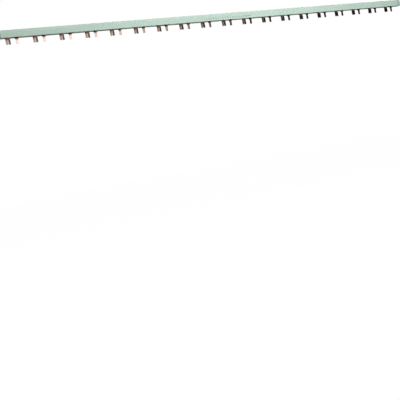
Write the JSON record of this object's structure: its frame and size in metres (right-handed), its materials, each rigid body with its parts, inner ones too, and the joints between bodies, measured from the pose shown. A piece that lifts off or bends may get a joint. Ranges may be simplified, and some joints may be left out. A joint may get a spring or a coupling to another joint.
{
  "type": "comb busbar",
  "caption": "Long insulated comb busbar with fork and pin copper teeth along its lower edge and plain end caps.",
  "frame": {"origin": "centre of the bounding box, midway between the tips of the teeth and the top of the profile", "axes": "+X along the bar from the fork end to the pin end, +Y from the front to the back, +Z from the teeth to the top"},
  "size_m": [1.032, 0.012, 0.0274],
  "materials": {
    "grey_green_plastic": "matte",
    "cap_plastic": "matte",
    "copper": "bright rolled"
  },
  "bodies": {
    "root": {"housing": "grey_green_plastic", "fork_strip": "copper", "fork_teeth": "copper", "pin_strip": "copper", "pin_teeth": "copper", "end_cap_left": "cap_plastic", "end_cap_right": "cap_plastic"}
  },
  "joints": []
}
